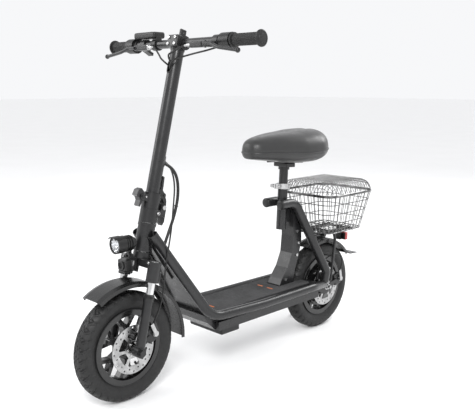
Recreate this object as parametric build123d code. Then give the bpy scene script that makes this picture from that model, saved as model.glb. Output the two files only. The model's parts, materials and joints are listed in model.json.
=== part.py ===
from build123d import *
import math
import os

# A folding, seated electric scooter on 12-inch wheels. Lengths are in millimetres, angles in degrees.
# +Z is up, the front faces -Y and the rider's left is +X. Shapes are drawn about the middle of the
# wheelbase, then every one is moved by CENTRING, so that the origin is on the ground at the middle
# of the whole length.

# Driving dimensions
WHEELBASE = 864
OVERHANG_SHIFT = 21
TYRE_RADIUS = 158.5
TYRE_HALF_WIDTH = 28.5
TYRE_FLAT = 11
BEAD_RADIUS = 101.5
RIM_FLANGE = 110
STEER_ANGLE = 14.1
STEER_Y = -323
STEER_Z = 577
BAR_HEIGHT = 437
BAR_OFFSET = 5
BAR_RADIUS = 12.5
BAR_END = 319
STEM_RADIUS = 19
STEM_BORE = 16.5
SLOT_RADIUS = 8
EAR_HOLE_RADIUS = 3.3
HEAD_RADIUS = 25
HEAD_TOP = -79.5
HEAD_BOTTOM = -160
SEAM = -38
FOLD_PIN = (30, -30)
LEVER_PIN = (31, 4)
LEG_X = 64
LEG_RADIUS = 13.5
STANCHION_RADIUS = 11.5
AXLE_RADIUS = 6
RUNNING_GAP = 0.05
WELD_GAP = 0.2
RAIL_RADIUS = 15
RAIL_X = 94
TUBE_WALL = 2.5
LOOP_RADIUS = 16
PLATE_INSIDE = 43
PLATE_OUTSIDE = 47.8
DECK_TOP = 203
DECK_BOTTOM = 150
DECK_FRONT = -150
DECK_REAR = 330
SEAT_LEAN = 3.3
SEAT_TUBE_FOOT = (229, 396)
SEAT_TUBE_LENGTH = 144
SEAT_TUBE_RADIUS = 17
POST_RADIUS = 15
ROTOR_X = 40
ROTOR_RADIUS = 70
FRONT_CALIPER_AT = 25
REAR_CALIPER_AT = 12
GUARD_GAP = 32
CABLE_RADIUS = 2.5
HARNESS_RADIUS = 4.5
BASKET_Y = 477
BASKET_FLOOR = 366
BASKET_RIM = 504
RACK_Z = 359.5
BASKET_WALL = 1.6
LID_HINGE = (338, 506)

FRONT_AXLE = (0, -WHEELBASE / 2, TYRE_RADIUS)
REAR_AXLE = (0, WHEELBASE / 2, TYRE_RADIUS)
CENTRING = Pos(0, -OVERHANG_SHIFT, 0)
# The steering frame: its Z axis is the steering axis, its Y axis points back, and its origin is at
# the top of the folding hinge.
STEERING = Location((0, STEER_Y, STEER_Z), (-STEER_ANGLE, 0, 0))
SEAT_FRAME = Location((0, *SEAT_TUBE_FOOT), (-SEAT_LEAN, 0, 0))
AT_FRONT_AXLE = Pos(*FRONT_AXLE)
AT_REAR_AXLE = Pos(*REAR_AXLE)


# Helpers

def save(name, *shapes):
    """Write one node, which is one solid or a group of separate solids."""
    placed = [CENTRING * shape for shape in shapes]
    node = placed[0] if len(placed) == 1 else Compound([shape.solid() for shape in placed])
    export_step(node, f"parts/{name}.step")


def block(size, centre, rounding=0):
    """A box about its centre, with its edges rounded."""
    shape = Box(*size)
    if rounding:
        shape = fillet(shape.edges(), rounding)
    return Pos(*centre) * shape


def rod(start, end, radius, bore=0):
    """A round bar or tube between two points."""
    run = Vector(*end) - Vector(*start)
    section = Circle(radius)
    if bore:
        section -= Circle(bore)
    return extrude(Plane(origin=start, z_dir=run) * section, run.length)


def turned(outline):
    """A solid turned about the X axis from its outline of (x, radius) points."""
    corners = [(x, 0, radius) for x, radius in outline]
    return revolve(make_face(Polyline(*corners, close=True)), Axis.X)


def slab(outline, x_from, x_to):
    """A flat plate of constant width in X, cut to an outline of (y, z) points."""
    corners = [(x_from, y, z) for y, z in outline]
    return extrude(make_face(Polyline(*corners, close=True)), x_to - x_from, dir=(1, 0, 0))


def both_sides(shape):
    """A shape on the +X side and its mirror image."""
    return [shape, mirror(shape, Plane.YZ)]


def bend_radii(points, share):
    """The radius at each inner point, which uses up a share of its shorter run."""
    radii = []
    for before, here, after in zip(points, points[1:], points[2:]):
        into = Vector(*here) - Vector(*before)
        out = Vector(*after) - Vector(*here)
        half_turn = math.radians(into.get_angle(out)) / 2
        radii.append(share * min(into.length, out.length) / math.tan(half_turn))
    return radii


def bent_tube(points, radius, radii, bore=0):
    """A tube along straight runs joined by tangent arcs."""
    path = FilletPolyline(*points, radius=radii)
    section = Circle(radius)
    if bore:
        section -= Circle(bore)
    return sweep(Plane(origin=path @ 0, z_dir=path % 0) * section, path)


def cable(name, points, radius):
    """A cable's tube; prints its bends and checks its volume against section times length."""
    radii = bend_radii(points, 0.45)
    path = FilletPolyline(*points, radius=radii)
    tube = sweep(Plane(origin=path @ 0, z_dir=path % 0) * Circle(radius), path)
    expected = math.pi * radius ** 2 * path.length
    print(name, "length", round(path.length), "smallest radius", round(min(radii)),
          "volume ratio", round(tube.volume / expected, 3))
    return tube


def steering_point(x, back, up):
    """A point of the steering frame, in the model's frame."""
    tilt = math.radians(STEER_ANGLE)
    y = STEER_Y + back * math.cos(tilt) + up * math.sin(tilt)
    z = STEER_Z - back * math.sin(tilt) + up * math.cos(tilt)
    return (x, y, z)


BAR = steering_point(0, BAR_OFFSET, BAR_HEIGHT)


def on_bar(x, back, up):
    """A point beside the handlebar's axis."""
    return (x, BAR[1] + back, BAR[2] + up)


# Wheels

def tyre():
    """A tyre with a flat crown, open inside, its beads on the rim's seats."""
    outer_left = ThreePointArc((-19.6, 0, RIM_FLANGE + 1), (-TYRE_HALF_WIDTH, 0, 133),
                               (-TYRE_FLAT, 0, TYRE_RADIUS))
    inner = ThreePointArc((15, 0, RIM_FLANGE), (0, 0, TYRE_RADIUS - 5.5), (-15, 0, RIM_FLANGE))
    outer_right = mirror(outer_left, Plane.YZ)
    lines = [
        outer_left,
        Line((-TYRE_FLAT, 0, TYRE_RADIUS), (TYRE_FLAT, 0, TYRE_RADIUS)),
        outer_right,
        Polyline((19.6, 0, RIM_FLANGE + 1), (19.6, 0, BEAD_RADIUS), (15, 0, BEAD_RADIUS),
                 (15, 0, RIM_FLANGE)),
        inner,
        Polyline((-15, 0, RIM_FLANGE), (-15, 0, BEAD_RADIUS), (-19.6, 0, BEAD_RADIUS),
                 (-19.6, 0, RIM_FLANGE + 1)),
    ]
    return revolve(make_face(Curve() + lines), Axis.X)


def rim_channel():
    """The rim's channel, with its flanges, bead seats and well."""
    half = [(23, 93), (23, RIM_FLANGE), (20, RIM_FLANGE), (20, BEAD_RADIUS), (12, BEAD_RADIUS), (9, 96)]
    inner = [(-14, 90), (14, 90)]
    return turned([(-x, r) for x, r in half] + half[::-1] + inner[::-1])


def polar(radius, angle):
    return (radius * math.cos(math.radians(angle)), radius * math.sin(math.radians(angle)))


def window(corners, direction, rounding):
    """A rounded window of a wheel's disc, from (radius, angle) corners about a direction."""
    outline = Polyline(*[polar(radius, direction + angle) for radius, angle in corners], close=True)
    face = make_face(outline)
    return fillet(face.vertices(), rounding)


def wheel_disc(windows, radius, half_thickness):
    """A disc with windows, across the X axis."""
    sketch = Circle(radius)
    for opening in windows:
        sketch -= opening
    disc = extrude(sketch, half_thickness, both=True)
    return Rot(0, 90, 0) * disc


def front_rim():
    """Six split spokes between the hub and the channel, with a bolt boss for the disc."""
    between = [(36, -15), (57, -20), (91, -10), (91, 10), (57, 20), (36, 15)]
    inside = [(63, 0), (91, -12.5), (91, 12.5)]
    windows = [window(between, 30 + 60 * k, 5) for k in range(6)]
    windows += [window(inside, 60 * k, 3) for k in range(6)]
    disc = wheel_disc(windows, 92, 11)
    hub = turned([(-34, 0), (-34, 20), (-14, 27), (14, 27), (ROTOR_X - 1.2, 22), (ROTOR_X - 1.2, 0)])
    bore = turned([(-40, 0), (-40, AXLE_RADIUS + RUNNING_GAP), (50, AXLE_RADIUS + RUNNING_GAP), (50, 0)])
    return AT_FRONT_AXLE * (rim_channel() + disc + hub - bore)


def rear_rim():
    """A one-piece casting: the hub motor's drum, twelve short spokes and the channel."""
    opening = [(79, -10), (91, -11), (91, 11), (79, 10)]
    windows = [window(opening, 15 + 30 * k, 3) for k in range(12)]
    disc = wheel_disc(windows, 92, 9)
    drum = turned([(-30, 0), (-30, 34), (-24, 58), (-22, 75), (22, 75), (24, 58), (30, 34),
                   (ROTOR_X - 1.2, 26), (ROTOR_X - 1.2, 0)])
    bore = turned([(-40, 0), (-40, AXLE_RADIUS + RUNNING_GAP), (50, AXLE_RADIUS + RUNNING_GAP), (50, 0)])
    return AT_REAR_AXLE * (rim_channel() + disc + drum - bore)


def rotor(axle):
    """A drilled brake disc with curved-out windows, and its bolts' heads."""
    sketch = Circle(ROTOR_RADIUS) - Circle(AXLE_RADIUS + 4)
    for k in range(6):
        sketch -= window([(27, -22), (51, -24), (51, 24), (27, 22)], 60 * k, 4)
        sketch -= Pos(*polar(18, 60 * k + 30)) * Circle(2.6)
    for k in range(24):
        ring = 57 if k % 2 else 64
        sketch -= Pos(*polar(ring, 15 * k)) * Circle(2.6)
    return axle * Pos(ROTOR_X - 0.9, 0, 0) * Rot(0, 90, 0) * extrude(sketch, 1.8)


def axle_shaft(axle, half_length, nut_x):
    """A fixed axle with a nut and washer at each end."""
    shaft = rod((-half_length, 0, 0), (half_length, 0, 0), AXLE_RADIUS)
    for side in (-1, 1):
        start = side * nut_x
        nut = Plane(origin=(start, 0, 0), z_dir=(side, 0, 0)) * RegularPolygon(10.4, 6)
        shaft += rod((start - side * 0.2, 0, 0), (start + side * 1.8, 0, 0), 13)
        shaft += extrude(nut, 9)
    return axle * shaft


def mudguard(axle, radius, half_width, start, sweep_angle):
    """A rolled guard over a tyre: a shallow channel turned about the axle."""
    section = [(-half_width, radius - 14), (-half_width, radius - 4), (-half_width + 14, radius),
               (half_width - 14, radius), (half_width, radius - 4), (half_width, radius - 14)]
    inner = [(x * (half_width - 2.5) / half_width, r - 2.5) for x, r in section[1:-1]]
    inner = [(-half_width + 2.5, radius - 14)] + inner + [(half_width - 2.5, radius - 14)]
    corners = [(x, r, 0) for x, r in section + inner[::-1]]
    guard = revolve(make_face(Polyline(*corners, close=True)), Axis.X, sweep_angle)
    return axle * Rot(start, 0, 0) * guard


# Frame

RAIL_ROUTE = [(34, -352, 472), (88, -178, 200), (RAIL_X, 40, 193), (91, 300, 192), (63.4, 392, 178)]
RAIL_PLUG = (66.3, 382, 179.6)
HARNESS_END = [(13, 71, -106), (13, 62, -155)]
LOOP_ROUTE = [(33, 188, 488), (34, 262, 488), (70, 398, 226), (64, 396, 190)]
LOOP_BORE_ROUTE = [(33.1, 196, 488), (34, 262, 488), (70, 398, 226), (66, 396.6, 202)]


def head_core(radius):
    return STEERING * rod((0, 0, HEAD_BOTTOM), (0, 0, HEAD_TOP), radius)


def head_tube():
    """The head tube, with a collar at each end and a bore for the steerer."""
    tube = rod((0, 0, HEAD_BOTTOM), (0, 0, HEAD_TOP), HEAD_RADIUS)
    tube += rod((0, 0, HEAD_TOP - 8), (0, 0, HEAD_TOP), HEAD_RADIUS + 1.5)
    tube += rod((0, 0, HEAD_BOTTOM), (0, 0, HEAD_BOTTOM + 8), HEAD_RADIUS + 1.5)
    tube -= rod((0, 0, HEAD_BOTTOM), (0, 0, HEAD_TOP), STANCHION_RADIUS + 3.55)
    return STEERING * tube


def rail_bars(radius):
    """The two bent tubes from the head tube, along the deck, to the rear dropouts."""
    return both_sides(bent_tube(RAIL_ROUTE, radius, [80, 600, 90]))


def side_rails():
    """The rails as tubes, notched round the head tube and plugged at their rear ends."""
    inner = RAIL_ROUTE[:-1] + [RAIL_PLUG]
    bores = both_sides(bent_tube(inner, RAIL_RADIUS - TUBE_WALL, [80, 600, 90]))
    rails = rail_bars(RAIL_RADIUS)
    return [rail - bore - head_core(HEAD_RADIUS + 1.7) for rail, bore in zip(rails, bores)]


def downtube_plates():
    """The sheet between the two rails, its gusset behind the head tube and the deck's closed nose."""
    top = Vector(0, -338, 455)
    foot = Vector(0, -178, 205)
    slope = foot - top
    plane = Plane(origin=top, x_dir=(1, 0, 0), z_dir=Vector(1, 0, 0).cross(slope))
    length = slope.length
    outline = Polyline((-19, 0), (19, 0), (73, length), (-73, length), close=True)
    sheet = extrude(plane * make_face(outline), 5, both=True)
    nose = slab([(-196, 206), (-183, 180), (-152, 151), (-152, 201), (-176, 212)], -74, 74)
    gusset = slab([(-335, 478), (-318, 452), (-240, 340), (-262, 318), (-345, 445)], -6, 6)
    plates = sheet + nose + gusset - head_core(HEAD_RADIUS + 1.7)
    plates -= rod(steering_point(*HARNESS_END[0]), steering_point(*HARNESS_END[1]), HARNESS_RADIUS)
    for rail in rail_bars(RAIL_RADIUS + WELD_GAP):
        plates -= rail
    return [solid for solid in plates.solids() if solid.volume > 5000]


def deck_tray():
    """The deck's closed tray: it carries the rails on its shoulders and holds the battery."""
    outline = [(-90, DECK_BOTTOM), (90, DECK_BOTTOM), (90, 177.5), (77.5, 177.5), (77.5, DECK_TOP),
               (-77.5, DECK_TOP), (-77.5, 177.5), (-90, 177.5)]
    corners = [(x, DECK_FRONT, z) for x, z in outline]
    length = DECK_REAR - DECK_FRONT
    tray = extrude(make_face(Polyline(*corners, close=True)), length, dir=(0, 1, 0))
    cavity = block((148, length - 60, 47), (0, (DECK_FRONT + DECK_REAR) / 2 - 20, 176.5))
    wheel_well = block((80, 120, 80), (0, DECK_REAR, 176))
    foot_of_riser = block((60, 90, 10), (0, 240, DECK_TOP))
    tray = tray - cavity - wheel_well - foot_of_riser
    for rail in rail_bars(RAIL_RADIUS + WELD_GAP):
        tray -= rail
    return tray


def deck_mat():
    """The ribbed mat on the deck, rounded at its corners, with a notch for the seat's riser."""
    mat = RectangleRounded(146, 440, 16)
    mat_solid = Pos(0, 88, DECK_TOP + 0.2) * extrude(mat, 3)
    return mat_solid - block((66, 150, 20), (0, 262, DECK_TOP))


def seat_mast():
    """The seat tube and the box beam behind it, joined by two web plates."""
    tube = rod((0, 0, 0), (0, 0, SEAT_TUBE_LENGTH), SEAT_TUBE_RADIUS, POST_RADIUS + RUNNING_GAP)
    slot = block((3, 20, 40), (0, -SEAT_TUBE_RADIUS, SEAT_TUBE_LENGTH - 20))
    tube = SEAT_FRAME * (tube - slot)
    beam = slab([(192, DECK_TOP - 4), (206, 226), (236, 262), (258, 310), (264, 370), (262, 469),
                 (296, 469), (306, 430), (308, 350), (296, 300), (276, 250), (264, DECK_TOP - 4)], -27, 27)
    beam = fillet(beam.edges().filter_by(Axis.X), 6)
    beam -= slab([(216, 224), (240, 258), (262, 308), (268, 370), (266, 458), (292, 458), (302, 430),
                  (304, 350), (292, 302), (272, 253), (262, 224)], -24, 24)
    web = slab([(244, 420), (266, 416), (266, 466), (248, 466)], -11, 11)
    mast = tube + beam + (web - SEAT_FRAME * rod((0, 0, 0), (0, 0, 200), SEAT_TUBE_RADIUS - 0.5))
    for loop in loop_bars(LOOP_RADIUS + WELD_GAP):
        mast -= loop
    return [solid for solid in mast.solids() if solid.volume > 3000]


def loop_bars(radius, route=LOOP_ROUTE):
    """The two bars from beside the seat tube down to the dropouts."""
    return both_sides(bent_tube(route, radius, [42, 22]))


def loop_tubes():
    """The two loops as tubes with plugged ends, notched round the seat tube."""
    seat_tube = SEAT_FRAME * rod((0, 0, -20), (0, 0, 200), SEAT_TUBE_RADIUS)
    bores = loop_bars(LOOP_RADIUS - TUBE_WALL, LOOP_BORE_ROUTE)
    return [loop - bore - seat_tube for loop, bore in zip(loop_bars(LOOP_RADIUS), bores)]


def dropouts():
    """The two plates that hold the rear axle, with the side stand's lug on the right one."""
    outline = [(378, 166), (384, 214), (412, 214), (452, 186), (456, 158), (440, 132), (418, 130), (384, 150)]
    plate = slab(outline, PLATE_INSIDE, PLATE_OUTSIDE)
    plate = fillet(plate.edges().filter_by(Axis.X), 9)
    plate -= AT_REAR_AXLE * rod((0, 0, 0), (90, 0, 0), AXLE_RADIUS + RUNNING_GAP)
    left, right = both_sides(plate)
    y, z = STAND_PIVOT
    lug = slab([(y - 13, z + 18), (y + 12, z + 18), (y + 12, z - 10), (y - 13, z - 10)], -86, -PLATE_INSIDE)
    lug -= slab([(y - 20, z + 10), (y + 20, z + 10), (y + 20, z - 20), (y - 20, z - 20)], -79, -65)
    lug -= rod((-90, y, z), (-40, y, z), 4)
    return [left, right + lug]


def rear_rack():
    """The carrier under the basket: two bars, three cross bars and two stays to the dropouts."""
    bars = [rod((side * 45, 350, RACK_Z), (side * 45, 562, RACK_Z), 6) for side in (-1, 1)]
    bars += [rod((-70, y, RACK_Z), (70, y, RACK_Z), 5) for y in (388, 454, 552)]
    for side in (-1, 1):
        stay = bent_tube([(side * 45, 470, RACK_Z - 4), (side * 53.4, 468, 326), (side * 53.4, 446, 180)],
                         5, [30])
        bars.append(stay)
    rack = bars[0]
    for bar in bars[1:]:
        rack += bar
    return rack


def rounded_rectangle(width, length, corner, y, z):
    return Pos(0, y, z) * RectangleRounded(width, length, corner)


def basket_volume(inset):
    """The basket's tapered outer shape, or its inside when inset."""
    floor = rounded_rectangle(190 - 2 * inset, 210 - 2 * inset, 32, BASKET_Y, BASKET_FLOOR + inset)
    mouth = rounded_rectangle(250 - 2 * inset, 270 - 2 * inset, 42, BASKET_Y, BASKET_RIM + (1 if inset else 0))
    return loft([floor, mouth])


def basket():
    """The open basket with the lid's hinge rod, on two lugs at the front of its rim."""
    y, z = LID_HINGE
    walls = basket_volume(0) - basket_volume(BASKET_WALL)
    lug = slab([(y + 6.2, z - 12), (y + 6.2, z - 2.5), (y + 2.5, z - 2.5), (y + 2.5, z + 3), (y - 3, z + 3),
                (y - 3, z - 8)], 78, 82)
    left, right = both_sides(lug)
    return walls + left + right + rod((-80, y, z), (80, y, z), 1.5)


def lid_volume(inset):
    """The lid's low dome above the basket's rim."""
    base = BASKET_RIM + 0.6 - (1 if inset else 0)
    skirt = rounded_rectangle(250 - 2 * inset, 270 - 2 * inset, 42, BASKET_Y, base)
    shoulder = rounded_rectangle(214 - 2 * inset, 234 - 2 * inset, 42, BASKET_Y, BASKET_RIM + 28 - inset)
    crown = rounded_rectangle(150 - 2 * inset, 170 - 2 * inset, 42, BASKET_Y, BASKET_RIM + 42 - inset)
    return loft([skirt, shoulder]) + loft([shoulder, crown])


def basket_lid():
    """The domed lid, with two knuckles round the hinge rod."""
    y, z = LID_HINGE
    lid = lid_volume(0) - lid_volume(BASKET_WALL)
    for side in (-1, 1):
        lid += rod((side * 45, y, z), (side * 70, y, z), 3)
        lid += block((25, 4.4, 3.4), (side * 57.5, y + 3.8, z + 1.3))
        lid -= rod((side * 44, y, z), (side * 71, y, z), 1.5 + RUNNING_GAP)
    return lid


def rear_fender():
    """The rear guard, its flared tail and the bracket up to the carrier."""
    guard = mudguard(AT_REAR_AXLE, TYRE_RADIUS + 17, 37, 36, 82)
    top = TYRE_RADIUS * 2 + 17
    tail = slab([(568, 258), (590, 250), (633, 247.5), (633, 250.5), (590, 253.5), (566, 266)], -36, 36)
    bracket = slab([(446, top - 1), (462, top - 3), (462, RACK_Z - 6), (446, RACK_Z - 6)], -14, 14)
    return guard + tail + bracket


def tail_light():
    """The rear lamp on its short arm above the guard's tail."""
    lens = block((56, 16, 30), (0, 575, 321), 4)
    arm = block((20, 10, 56), (0, 562.5, 334), 2)
    return lens + arm


def battery():
    return block((132, 380, 38), (0, 60, 176.5), 4)


def controller_box():
    return block((150, 78, 24.6), (0, -86, 137.6), 5)


def rear_caliper():
    """The rear disc caliper on its adapter, astride the disc above and behind the axle."""
    return caliper(AT_REAR_AXLE, REAR_CALIPER_AT, 49.2)


def caliper(axle, direction, outer_x):
    """A disc caliper astride the disc's edge, with its adapter, cable stop and arm boss."""
    edge = ROTOR_RADIUS
    body = block((outer_x - 29, 34, 42), ((outer_x + 29) / 2, edge - 4, 0), 4)
    body += rod((44, edge + 6, 0), (outer_x + 4, edge + 6, 0), 9)
    adapter = block((4, 44, 14), (outer_x + 0.8, edge - 34, 0))
    stop = rod((46, edge + 9, 10), (46, edge + 24, 30), 4)
    gap = rod((ROTOR_X - 2.2, 0, 0), (ROTOR_X + 2.2, 0, 0), edge + 3)
    return axle * Rot(direction, 0, 0) * (body + adapter + stop - gap)


def brake_arm(axle, direction, outer_x):
    """The caliper's actuating arm, on its boss."""
    start = outer_x + 4.4
    hub = rod((start, ROTOR_RADIUS + 6, 0), (start + 5, ROTOR_RADIUS + 6, 0), 8)
    reach = block((4, 12, 34), (start + 3, ROTOR_RADIUS + 6, 18), 1.5)
    return axle * Rot(direction, 0, 0) * (hub + reach)


def frame_bolts():
    """Cap screws on both faces of the seat's beam."""
    places = [(284, 384), (290, 342), (282, 300), (224, 222)]
    return [rod((side * 27.1, y, z), (side * 31, y, z), 5) for y, z in places for side in (-1, 1)]


def seat_collar():
    """The split collar round the top of the seat tube, with two ears for its lever's bolt."""
    base = SEAT_TUBE_LENGTH - 4
    collar = rod((0, 0, base), (0, 0, base + 18), 23, SEAT_TUBE_RADIUS + 0.1)
    lip = rod((0, 0, SEAT_TUBE_LENGTH + 1), (0, 0, base + 18), 20, POST_RADIUS + 0.4)
    ears = block((16, 20, 16), (0, -28, base + 9), 1)
    split = block((2.5, 40, 30), (0, -30, base + 9))
    clear = rod((0, 0, base), (0, 0, base + 18), POST_RADIUS + 0.4)
    bolt = rod((-13.2, -30, base + 9), (12, -30, base + 9), 3)
    return SEAT_FRAME * (collar + lip + (ears - clear) - split + bolt)


# The lever's eye sits round the end of the collar's bolt.
def collar_lever():
    height = SEAT_TUBE_LENGTH + 5
    eye = rod((-20, -30, height - 6), (-20, -30, height + 6), 6.5)
    blade = block((5, 52, 11), (-26.8, -8, height), 2)
    return SEAT_FRAME * (eye + blade)


def seat_post():
    """The seat post, with the saddle's clamp and its two rails."""
    post = rod((0, 0, 40), (0, 0, 212), POST_RADIUS, POST_RADIUS - 2.5)
    head = rod((0, 0, 206), (0, 0, 222), 19)
    clamp = block((60, 44, 14), (0, 2, 222), 3)
    rails = [rod((side * 22, -60, 232), (side * 22, 70, 232), 3.5) for side in (-1, 1)]
    return SEAT_FRAME * (post + head + clamp + rails[0] + rails[1])


def saddle():
    """The padded saddle's plain outer shape: a broad rear and a narrow, rounded nose."""
    width_at = [(68, 28), (85, 45), (130, 64), (190, 92), (250, 112), (310, 115), (355, 98), (378, 62), (382, 30)]
    right = [(half, y) for y, half in width_at]
    left = [(-half, y) for half, y in reversed(right)]
    edges = [Spline(*right), Line(right[-1], left[0]), Spline(*left), Line(left[-1], right[0])]
    plan = make_face(Curve() + edges)
    body = Pos(0, 0, 633.5) * extrude(plan, 104)
    body -= slab([(40, 745), (410, 745), (410, 718), (350, 735), (240, 728), (130, 720), (60, 704), (40, 704)],
                 -140, 140)
    return body


# Fork and front end

def fork_tubes():
    """The steerer and the two stanchions, all pressed into the crown."""
    steerer = STEERING * rod((0, 0, -172), (0, 0, SEAM - 16), STANCHION_RADIUS + 3.5, 11)
    tubes = [steerer]
    for side in (-1, 1):
        tubes.append(STEERING * rod((side * LEG_X, 0, -370), (side * LEG_X, 0, -180), STANCHION_RADIUS, 8.5))
    return tubes


def fork_crown():
    """The arch over the wheel, with a clamp round each stanchion and the mudguard's tab."""
    bridge = block((2 * LEG_X, 34, 24), (0, 0, -190), 5)
    bridge += rod((0, 0, -180), (0, 0, HEAD_BOTTOM - 2), HEAD_RADIUS)
    for side in (-1, 1):
        bridge += rod((side * LEG_X, 0, -238), (side * LEG_X, 0, -181), 18)
        bridge += block((10, 14, 30), (side * LEG_X, 20, -222), 3)
    tab = block((30, 4, 22), (0, -16, -208), 1)
    bridge += tab
    for tube in (rod((0, 0, -173), (0, 0, -100), STANCHION_RADIUS + 3.5),
                 rod((LEG_X, 0, -400), (LEG_X, 0, -180), STANCHION_RADIUS),
                 rod((-LEG_X, 0, -400), (-LEG_X, 0, -180), STANCHION_RADIUS)):
        bridge -= tube
    return STEERING * bridge


def front_fender():
    """The front guard with its raised tip and the strap up to the crown."""
    guard = mudguard(AT_FRONT_AXLE, TYRE_RADIUS + GUARD_GAP, 42, -4, 128)
    return guard


def lamp_bracket():
    """The strap from the crown's front to the lamp's clevis, with the horn's shelf."""
    strap = slab([(-20.2, -200), (-24.5, -200), (-24.5, -190), (-36, -187), (-50, -181), (-51, -172),
                  (-44.2, -166), (-37, -172), (-30, -180), (-20.2, -182)], -9, 9)
    y, z = LAMP_PIVOT
    strap = STEERING * strap
    strap -= block((10.4, 24, 22), (0, y, z + 4))
    strap -= rod((-20, y, z), (20, y, z), 2.5)
    shelf = slab([(-390, 398), (-393, 398), (-399, 376.5), (-434, 376.5), (-434, 373), (-396, 373),
                  (-386, 392)], -12, 12)
    return strap + (shelf - STEERING * block((160, 40.4, 60), (0, 0, -200)))


def horn():
    """The horn's ribbed square case and its grille ring."""
    case = block((38, 24, 31), (0, -423, 392.6), 4)
    ring = rod((0, -438, 392.6), (0, -434, 392.6), 13, 9)
    return case + ring


LAMP_PIVOT = (-408, 420)
STAND_PIVOT = (444, 122)


def lamp_shell():
    """The headlight's shell: a round nose, a finned neck, a visor and its foot's eye."""
    nose = rod((0, -456, 452), (0, -428, 452), 24, 21)
    nose += rod((0, -431, 452), (0, -427, 452), 24)
    body = rod((0, -429, 452), (0, -400, 452), 20) + rod((0, -400, 452), (0, -391, 452), 14)
    for k in range(3):
        body += rod((0, -424 + 8 * k, 452), (0, -421 + 8 * k, 452), 22.5)
    visor = rod((0, -464, 452), (0, -440, 452), 25.5, 23.5) - block((80, 60, 60), (0, -452, 440))
    y, z = LAMP_PIVOT
    eye = slab([(y - 6, z + 18), (y + 6, z + 18), (y + 5, z), (y - 5, z)], -5, 5)
    eye += rod((-5, y, z), (5, y, z), 6)
    pin = rod((-12, y, z), (12, y, z), 2.45)
    return nose + body + visor + eye + pin


def lamp_lens():
    """The clear front lens, set back in the nose."""
    return rod((0, -454, 452), (0, -450, 452), 20.9)


def hinge_base():
    """The lower block of the folding hinge, with the two outer ears of the folding pin."""
    y, s = FOLD_PIN
    base = rod((0, 0, HEAD_TOP + 1.2), (0, 0, SEAM - 0.4), HEAD_RADIUS + 1)
    base += block((50, 24, 22), (0, 18, SEAM - 11.6), 3)
    for side in (-1, 1):
        ear = slab([(y - 9, s), (y + 9, s), (y + 9, s - 28), (y - 9, s - 22)], 13, 25)
        ear += rod((13, y, s), (25, y, s), 9)
        base += ear if side > 0 else mirror(ear, Plane.YZ)
    base -= slab([(y - 11, s + 11), (y + 20, s + 11), (y + 20, s - 12), (y - 11, s - 12)], -13, 13)
    base -= rod((0, 0, HEAD_TOP), (0, 0, SEAM - 16), STANCHION_RADIUS + 3.5)
    base -= rod((-30, y, s), (30, y, s), 4)
    return STEERING * base


def hinge_cap():
    """The upper block: it turns on the folding pin and carries the lever's ears and the stem."""
    y, s = FOLD_PIN
    cap = rod((0, 0, SEAM), (0, 0, 6), HEAD_RADIUS + 1)
    cap -= block((80, 40, 80), (0, 38, -20))
    knuckle = slab([(10, s + 10), (y, s + 9), (y, s - 7), (10, s - 7)], -12.6, 12.6)
    knuckle += rod((-12.6, y, s), (12.6, y, s), 8.6)
    lip = block((30, 12, 12), (0, -30, -12), 3)
    strap = slab([(19.3, 58), (25, 56), (27, 30), (27, 14), (19.3, 14)], -10.6, 10.6)
    cap += knuckle + lip + strap
    ly, ls = LEVER_PIN
    for side in (-1, 1):
        ear = slab([(12, ls + 16), (22, ls + 16), (ly, ls + 7), (ly, ls - 7), (12, ls - 14)], 10.5, 15)
        ear += rod((10.5, ly, ls), (15, ly, ls), 7)
        cap += ear if side > 0 else mirror(ear, Plane.YZ)
    cap -= rod((0, 0, -20), (0, 0, 24), STEM_RADIUS + RUNNING_GAP)
    cap -= rod((-30, y, s), (30, y, s), 4.05)
    cap -= rod((-30, ly, ls), (30, ly, ls), 3)
    return STEERING * cap


def hinge_bolts():
    """The folding pin with its two heads."""
    y, s = FOLD_PIN
    pin = rod((-26, y, s), (26, y, s), 4)
    for side in (-1, 1):
        pin += rod((side * 25.2, y, s), (side * 28.5, y, s), 6.5)
    return STEERING * pin


def fold_lever():
    """The long locking lever behind the hinge, which turns on its own cross pin."""
    y, s = LEVER_PIN
    hub = rod((-10.2, y, s), (10.2, y, s), 8)
    pin = rod((-17, y, s), (17, y, s), 2.95)
    handle = slab([(y - 4, s + 5), (y + 6, s + 4), (y + 16, s - 14), (y + 19, s - 36), (y + 21, s - 74),
                   (y + 16, s - 86), (y + 11, s - 80), (y + 11, s - 46), (y + 10.5, s - 24), (y - 2, s - 6)],
                  -10, 10)
    return STEERING * (hub + pin + handle)


def safety_latch():
    """The sprung catch at the hinge's front: a hooked thumb tab on a cross pin."""
    pivot = LATCH_PIVOT
    body = slab([(-62, -8), (-58, 8), (-48, 14), (-38.6, 6), (-38.6, -20), (-44, -38), (-49, -36), (-47, -20),
                 (-52, -12)], -11, 11)
    body += rod((-17, *pivot), (17, *pivot), 2.95)
    return STEERING * body


LATCH_PIVOT = (-43, -8)


def latch_cheeks():
    """The two cheeks on the hinge's cap that carry the catch's pin."""
    y, s = LATCH_PIVOT
    cheeks = []
    for side in (-1, 1):
        cheek = slab([(y - 6, s + 5), (y - 6, s - 6), (-20, s - 14), (-20, s + 10)], 11.4, 15)
        cheek -= rod((0, y, s), (30, y, s), 3)
        cheeks.append(cheek if side > 0 else mirror(cheek, Plane.YZ))
    return cheeks


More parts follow.
